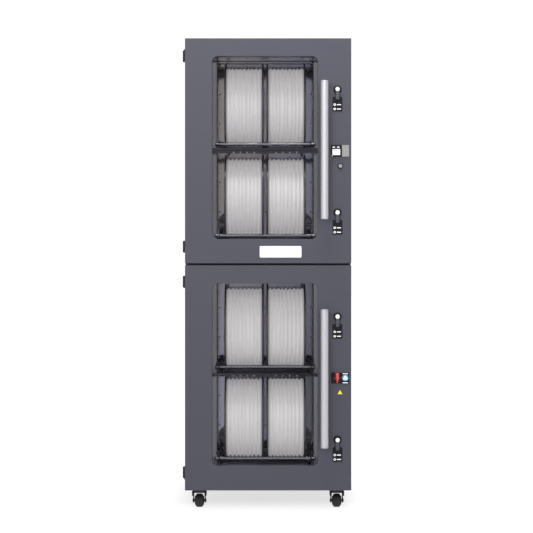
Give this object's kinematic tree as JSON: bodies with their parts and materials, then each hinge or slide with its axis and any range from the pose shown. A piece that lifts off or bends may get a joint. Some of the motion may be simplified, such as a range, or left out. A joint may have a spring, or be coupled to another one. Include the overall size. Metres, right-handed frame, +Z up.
{
  "type": "filament dryer box",
  "caption": "Tall steel filament drying cabinet on swivel casters, with glazed hinged doors, quarter-turn latches and spools of filament on bars inside heated chambers.",
  "frame": {"origin": "on the floor, under the middle of the bounding box", "axes": "+Z up, +X to the right seen from the front, -Y towards the front"},
  "size_m": [0.671, 0.819, 1.878],
  "materials": {
    "paint": "fine powder coat, semi-matt",
    "dark_paint": "dark powder coat, matt",
    "stainless": "ground stainless steel",
    "black_metal": "black coated steel",
    "black_plastic": "black moulded plastic",
    "red_plastic": "red moulded plastic",
    "rubber": "black rubber",
    "filament": "wound light grey filament on dark flanges",
    "glass": "tinted safety glass"
  },
  "bodies": {
    "cabinet": {"front_frame": "dark_paint", "outer_shell": "paint", "base_frame": "dark_paint", "rear_panel": "paint", "liner_lower": "dark_paint", "duct_panel_lower": "dark_paint", "heater_lower": "stainless", "spool_rack_lower_high": "black_metal", "spool_rack_lower_low": "black_metal", "hinge_body_leaf_lower_top": "black_metal", "hinge_body_leaf_lower_bottom": "black_metal", "liner_upper": "dark_paint", "duct_panel_upper": "dark_paint", "heater_upper": "stainless", "spool_rack_upper_high": "black_metal", "spool_rack_upper_low": "black_metal", "hinge_body_leaf_upper_top": "black_metal", "hinge_body_leaf_upper_bottom": "black_metal"},
    "door_lower": {"door_panel_lower": "paint", "door_inner_lower": "dark_paint", "door_glass_lower": "glass", "door_seal_lower": "rubber", "door_handle_lower": "stainless", "hinge_door_leaf_lower_top": "black_metal", "hinge_door_leaf_lower_bottom": "black_metal", "main_switch_body": "black_plastic"},
    "door_upper": {"door_panel_upper": "paint", "door_inner_upper": "dark_paint", "door_glass_upper": "glass", "door_seal_upper": "rubber", "door_handle_upper": "stainless", "hinge_door_leaf_upper_top": "black_metal", "hinge_door_leaf_upper_bottom": "black_metal", "display_unit": "black_plastic"},
    "latch_lower_top": {"latch_lower_top": "black_metal"},
    "latch_lower_bottom": {"latch_lower_bottom": "black_metal"},
    "spool_lower_high_left": {"spool_lower_high_left": "filament"},
    "spool_lower_high_right": {"spool_lower_high_right": "filament"},
    "spool_lower_low_left": {"spool_lower_low_left": "filament"},
    "spool_lower_low_right": {"spool_lower_low_right": "filament"},
    "fan_rotor_lower_left": {"fan_rotor_lower_left": "black_plastic"},
    "fan_rotor_lower_right": {"fan_rotor_lower_right": "black_plastic"},
    "latch_upper_top": {"latch_upper_top": "black_metal"},
    "latch_upper_bottom": {"latch_upper_bottom": "black_metal"},
    "spool_upper_high_left": {"spool_upper_high_left": "filament"},
    "spool_upper_high_right": {"spool_upper_high_right": "filament"},
    "spool_upper_low_left": {"spool_upper_low_left": "filament"},
    "spool_upper_low_right": {"spool_upper_low_right": "filament"},
    "fan_rotor_upper_left": {"fan_rotor_upper_left": "black_plastic"},
    "fan_rotor_upper_right": {"fan_rotor_upper_right": "black_plastic"},
    "power_button": {"power_button": "stainless"},
    "main_switch_knob": {"main_switch_knob": "red_plastic"},
    "caster_fork_front_left": {"caster_fork_front_left": "black_metal"},
    "caster_wheel_front_left": {"caster_wheel_front_left": "rubber"},
    "caster_fork_front_right": {"caster_fork_front_right": "black_metal"},
    "caster_wheel_front_right": {"caster_wheel_front_right": "rubber"},
    "caster_fork_rear_left": {"caster_fork_rear_left": "black_metal"},
    "caster_wheel_rear_left": {"caster_wheel_rear_left": "rubber"},
    "caster_fork_rear_right": {"caster_fork_rear_right": "black_metal"},
    "caster_wheel_rear_right": {"caster_wheel_rear_right": "rubber"}
  },
  "joints": [
    {"name": "door_lower_hinge", "type": "hinge", "parent": "cabinet", "child": "door_lower", "pos_m": [-0.33, -0.2925, 0.5305], "axis": [0, 0, -1], "range_deg": [0, 120]},
    {"name": "latch_lower_top_turn", "type": "hinge", "parent": "door_lower", "child": "latch_lower_top", "pos_m": [0.2805, -0.3405, 0.774], "axis": [0, -1, 0], "range_deg": [0, 90]},
    {"name": "latch_lower_bottom_turn", "type": "hinge", "parent": "door_lower", "child": "latch_lower_bottom", "pos_m": [0.2805, -0.3405, 0.2855], "axis": [0, -1, 0], "range_deg": [0, 90]},
    {"name": "spool_lower_high_left_spin", "type": "hinge", "parent": "cabinet", "child": "spool_lower_high_left", "pos_m": [-0.0915, -0.1055, 0.721], "axis": [1, 0, 0], "continuous": true},
    {"name": "spool_lower_high_right_spin", "type": "hinge", "parent": "cabinet", "child": "spool_lower_high_right", "pos_m": [0.0785, -0.1055, 0.721], "axis": [1, 0, 0], "continuous": true},
    {"name": "spool_lower_low_left_spin", "type": "hinge", "parent": "cabinet", "child": "spool_lower_low_left", "pos_m": [-0.0915, -0.1055, 0.351], "axis": [1, 0, 0], "continuous": true},
    {"name": "spool_lower_low_right_spin", "type": "hinge", "parent": "cabinet", "child": "spool_lower_low_right", "pos_m": [0.0785, -0.1055, 0.351], "axis": [1, 0, 0], "continuous": true},
    {"name": "fan_rotor_lower_left_spin", "type": "hinge", "parent": "cabinet", "child": "fan_rotor_lower_left", "pos_m": [-0.1565, 0.1065, 0.245], "axis": [0, 1, 0], "continuous": true},
    {"name": "fan_rotor_lower_right_spin", "type": "hinge", "parent": "cabinet", "child": "fan_rotor_lower_right", "pos_m": [0.1435, 0.1065, 0.245], "axis": [0, 1, 0], "continuous": true},
    {"name": "door_upper_hinge", "type": "hinge", "parent": "cabinet", "child": "door_upper", "pos_m": [-0.33, -0.2925, 1.4315], "axis": [0, 0, -1], "range_deg": [0, 120]},
    {"name": "latch_upper_top_turn", "type": "hinge", "parent": "door_upper", "child": "latch_upper_top", "pos_m": [0.2805, -0.3405, 1.675], "axis": [0, -1, 0], "range_deg": [0, 90]},
    {"name": "latch_upper_bottom_turn", "type": "hinge", "parent": "door_upper", "child": "latch_upper_bottom", "pos_m": [0.2805, -0.3405, 1.1865], "axis": [0, -1, 0], "range_deg": [0, 90]},
    {"name": "spool_upper_high_left_spin", "type": "hinge", "parent": "cabinet", "child": "spool_upper_high_left", "pos_m": [-0.0915, -0.1055, 1.622], "axis": [1, 0, 0], "continuous": true},
    {"name": "spool_upper_high_right_spin", "type": "hinge", "parent": "cabinet", "child": "spool_upper_high_right", "pos_m": [0.0785, -0.1055, 1.622], "axis": [1, 0, 0], "continuous": true},
    {"name": "spool_upper_low_left_spin", "type": "hinge", "parent": "cabinet", "child": "spool_upper_low_left", "pos_m": [-0.0915, -0.1055, 1.252], "axis": [1, 0, 0], "continuous": true},
    {"name": "spool_upper_low_right_spin", "type": "hinge", "parent": "cabinet", "child": "spool_upper_low_right", "pos_m": [0.0785, -0.1055, 1.252], "axis": [1, 0, 0], "continuous": true},
    {"name": "fan_rotor_upper_left_spin", "type": "hinge", "parent": "cabinet", "child": "fan_rotor_upper_left", "pos_m": [-0.1565, 0.1065, 1.146], "axis": [0, 1, 0], "continuous": true},
    {"name": "fan_rotor_upper_right_spin", "type": "hinge", "parent": "cabinet", "child": "fan_rotor_upper_right", "pos_m": [0.1435, 0.1065, 1.146], "axis": [0, 1, 0], "continuous": true},
    {"name": "power_button_press", "type": "slide", "parent": "door_upper", "child": "power_button", "axis": [0, 1, 0], "range_m": [0, 0.0025], "stiffness_N_per_m": 400},
    {"name": "main_switch_turn", "type": "hinge", "parent": "door_lower", "child": "main_switch_knob", "pos_m": [0.2795, -0.3405, 0.5305], "axis": [0, -1, 0], "range_deg": [0, 90]},
    {"name": "caster_front_left_swivel", "type": "hinge", "parent": "cabinet", "child": "caster_fork_front_left", "pos_m": [-0.2715, -0.2355, 0.07], "axis": [0, 0, 1], "continuous": true},
    {"name": "caster_front_left_roll", "type": "hinge", "parent": "caster_fork_front_left", "child": "caster_wheel_front_left", "pos_m": [-0.2715, -0.2155, 0.027], "axis": [1, 0, 0], "continuous": true},
    {"name": "caster_front_right_swivel", "type": "hinge", "parent": "cabinet", "child": "caster_fork_front_right", "pos_m": [0.2825, -0.2355, 0.07], "axis": [0, 0, 1], "continuous": true},
    {"name": "caster_front_right_roll", "type": "hinge", "parent": "caster_fork_front_right", "child": "caster_wheel_front_right", "pos_m": [0.2825, -0.2155, 0.027], "axis": [1, 0, 0], "continuous": true},
    {"name": "caster_rear_left_swivel", "type": "hinge", "parent": "cabinet", "child": "caster_fork_rear_left", "pos_m": [-0.2715, 0.3045, 0.07], "axis": [0, 0, 1], "continuous": true},
    {"name": "caster_rear_left_roll", "type": "hinge", "parent": "caster_fork_rear_left", "child": "caster_wheel_rear_left", "pos_m": [-0.2715, 0.3245, 0.027], "axis": [1, 0, 0], "continuous": true},
    {"name": "caster_rear_right_swivel", "type": "hinge", "parent": "cabinet", "child": "caster_fork_rear_right", "pos_m": [0.2825, 0.3045, 0.07], "axis": [0, 0, 1], "continuous": true},
    {"name": "caster_rear_right_roll", "type": "hinge", "parent": "caster_fork_rear_right", "child": "caster_wheel_rear_right", "pos_m": [0.2825, 0.3245, 0.027], "axis": [1, 0, 0], "continuous": true}
  ]
}
